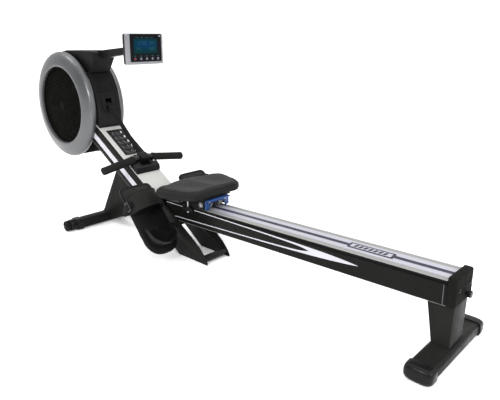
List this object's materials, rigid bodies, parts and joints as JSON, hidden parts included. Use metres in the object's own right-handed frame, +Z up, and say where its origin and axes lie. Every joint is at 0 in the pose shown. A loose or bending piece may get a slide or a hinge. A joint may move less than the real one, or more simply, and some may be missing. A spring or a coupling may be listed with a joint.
{
  "type": "rowing machine",
  "caption": "Folding air rowing machine: flywheel drum with mesh sides, sloping beam with footplates, console, pull handle and a sliding seat on a rail.",
  "frame": {"origin": "centre of the bounding box's base, on the floor", "axes": "+Z up, +X from the flywheel drum to the rail's rear end, -Y the rower's left"},
  "size_m": [2.278, 0.536, 0.91],
  "materials": {
    "frame_paint": "satin black powder coat",
    "beam_cover": "light grey satin paint",
    "black_plastic": "fine moulded texture",
    "gloss_black": "glossy",
    "ring_silver": "metallic silver paint",
    "grille_mesh": "black perforated sheet",
    "rail_aluminium": "anodised, brushed along its length",
    "zinc_steel": "bright zinc plate",
    "handle_tube": "black anodised",
    "foam_grip": "closed-cell foam",
    "seat_skin": "moulded polyurethane skin",
    "blue_bracket": "blue paint",
    "black_rubber": "matt",
    "webbing": "woven polyester",
    "cast_wheel": "machined rim",
    "nylon": "smooth",
    "spring_steel": "blued",
    "console_silver": "metallic silver paint",
    "console_window": "glossy printed panel",
    "button_grey": "smooth"
  },
  "bodies": {
    "frame": {"side_plate_left": "frame_paint", "side_plate_right": "frame_paint", "beam_core": "frame_paint", "beam_top_cover": "beam_cover", "cross_rod": "gloss_black", "hinge_bolt": "zinc_steel", "front_leg": "frame_paint", "front_foot_cap_left": "gloss_black", "front_foot_cap_right": "gloss_black", "drum_shell_left": "black_plastic", "drum_shell_right": "black_plastic", "ring_cover_left": "ring_silver", "ring_cover_right": "ring_silver", "grille_left": "grille_mesh", "grille_right": "grille_mesh", "flywheel_axle": "zinc_steel", "recoil_spring": "spring_steel", "brake_magnets": "cast_wheel", "front_fairing": "black_plastic", "console_bracket": "black_plastic", "console_arm": "black_plastic", "handle_cradle": "black_plastic", "pull_strap": "webbing", "pedal_crossbar": "frame_paint", "footplate_left": "black_plastic", "footplate_right": "black_plastic", "foot_strap_left": "black_rubber", "foot_strap_right": "black_rubber"},
    "rail": {"rail_beam": "rail_aluminium", "rail_end_cap": "black_plastic", "rear_knob": "gloss_black", "rear_leg": "frame_paint", "rear_foot_cap_left": "gloss_black", "rear_foot_cap_right": "gloss_black"},
    "seat": {"seat_pad": "seat_skin", "seat_carriage": "frame_paint", "seat_guide_left": "black_plastic", "seat_guide_right": "black_plastic", "seat_rear_bracket": "blue_bracket"},
    "seat_wheels_front": {"seat_wheelset_front": "nylon"},
    "seat_wheels_rear": {"seat_wheelset_rear": "nylon"},
    "handle": {"handle_bar": "handle_tube", "handle_grip_left": "foam_grip", "handle_grip_right": "foam_grip", "handle_clamp": "black_plastic"},
    "reel": {"strap_reel": "nylon"},
    "guide_roller": {"strap_guide_roller": "zinc_steel"},
    "flywheel": {"flywheel": "cast_wheel", "fan_wheel": "black_plastic"},
    "wheel_left": {"wheel_left": "black_rubber"},
    "wheel_right": {"wheel_right": "black_rubber"},
    "heel_cup_left": {"heel_cup_left": "gloss_black"},
    "heel_cup_right": {"heel_cup_right": "gloss_black"},
    "console": {"console_body": "console_silver", "console_lens": "console_window"},
    "button_1": {"button_1": "button_grey"},
    "button_2": {"button_2": "button_grey"},
    "button_3": {"button_3": "button_grey"},
    "button_4": {"button_4": "button_grey"},
    "button_5": {"button_5": "button_grey"}
  },
  "joints": [
    {"name": "rail_fold", "type": "hinge", "parent": "frame", "child": "rail", "pos_m": [-0.1789, 0, 0.196], "axis": [0, 1, 0], "range_deg": [-85, 0]},
    {"name": "seat_slide", "type": "slide", "parent": "rail", "child": "seat", "axis": [0.9996, 0, 0.0278], "range_m": [0, 0.975]},
    {"name": "seat_wheels_front_roll", "type": "hinge", "parent": "seat", "child": "seat_wheels_front", "pos_m": [-0.03806, 0, 0.25347], "axis": [0, 1, 0], "continuous": true},
    {"name": "seat_wheels_rear_roll", "type": "hinge", "parent": "seat", "child": "seat_wheels_rear", "pos_m": [0.0829, 0, 0.25683], "axis": [0, 1, 0], "continuous": true},
    {"name": "handle_pull", "type": "slide", "parent": "frame", "child": "handle", "axis": [0.9771, 0, 0.213], "range_m": [0, 1.1], "stiffness_N_per_m": 12, "springref_m": -1, "deforming": ["pull_strap"]},
    {"name": "reel_turn", "type": "hinge", "parent": "frame", "child": "reel", "pos_m": [-0.8854, 0, 0.566], "axis": [0, 1, 0], "range_deg": [0, 1400], "deforming": ["recoil_spring"]},
    {"name": "guide_roller_turn", "type": "hinge", "parent": "frame", "child": "guide_roller", "pos_m": [-0.6329, 0, 0.5835], "axis": [0, 1, 0], "continuous": true},
    {"name": "flywheel_spin", "type": "hinge", "parent": "frame", "child": "flywheel", "pos_m": [-0.8854, 0, 0.566], "axis": [0, 1, 0], "continuous": true},
    {"name": "wheel_left_roll", "type": "hinge", "parent": "frame", "child": "wheel_left", "pos_m": [-0.6569, -0.256, 0.027], "axis": [0, 1, 0], "continuous": true},
    {"name": "wheel_right_roll", "type": "hinge", "parent": "frame", "child": "wheel_right", "pos_m": [-0.6569, 0.256, 0.027], "axis": [0, 1, 0], "continuous": true},
    {"name": "heel_cup_left_slide", "type": "slide", "parent": "frame", "child": "heel_cup_left", "axis": [-0.657, 0, 0.7539], "range_m": [0, 0.06]},
    {"name": "heel_cup_right_slide", "type": "slide", "parent": "frame", "child": "heel_cup_right", "axis": [-0.657, 0, 0.7539], "range_m": [0, 0.06]},
    {"name": "console_tilt", "type": "hinge", "parent": "frame", "child": "console", "pos_m": [-0.3569, 0, 0.846], "axis": [0, 1, 0], "range_deg": [-20, 20]},
    {"name": "button_1_press", "type": "slide", "parent": "console", "child": "button_1", "axis": [-1, 0, 0], "range_m": [0, 0.001], "stiffness_N_per_m": 400, "springref_m": -0.001},
    {"name": "button_2_press", "type": "slide", "parent": "console", "child": "button_2", "axis": [-1, 0, 0], "range_m": [0, 0.001], "stiffness_N_per_m": 400, "springref_m": -0.001},
    {"name": "button_3_press", "type": "slide", "parent": "console", "child": "button_3", "axis": [-1, 0, 0], "range_m": [0, 0.001], "stiffness_N_per_m": 400, "springref_m": -0.001},
    {"name": "button_4_press", "type": "slide", "parent": "console", "child": "button_4", "axis": [-1, 0, 0], "range_m": [0, 0.001], "stiffness_N_per_m": 400, "springref_m": -0.001},
    {"name": "button_5_press", "type": "slide", "parent": "console", "child": "button_5", "axis": [-1, 0, 0], "range_m": [0, 0.001], "stiffness_N_per_m": 400, "springref_m": -0.001}
  ],
  "couplings": [
    {"joint": "seat_wheels_front_roll", "follows": "seat_slide", "rad_per_m": 47.62},
    {"joint": "seat_wheels_rear_roll", "follows": "seat_slide", "rad_per_m": 47.62},
    {"joint": "reel_turn", "follows": "handle_pull", "rad_per_m": 21.93},
    {"joint": "guide_roller_turn", "follows": "handle_pull", "rad_per_m": 106.4}
  ]
}
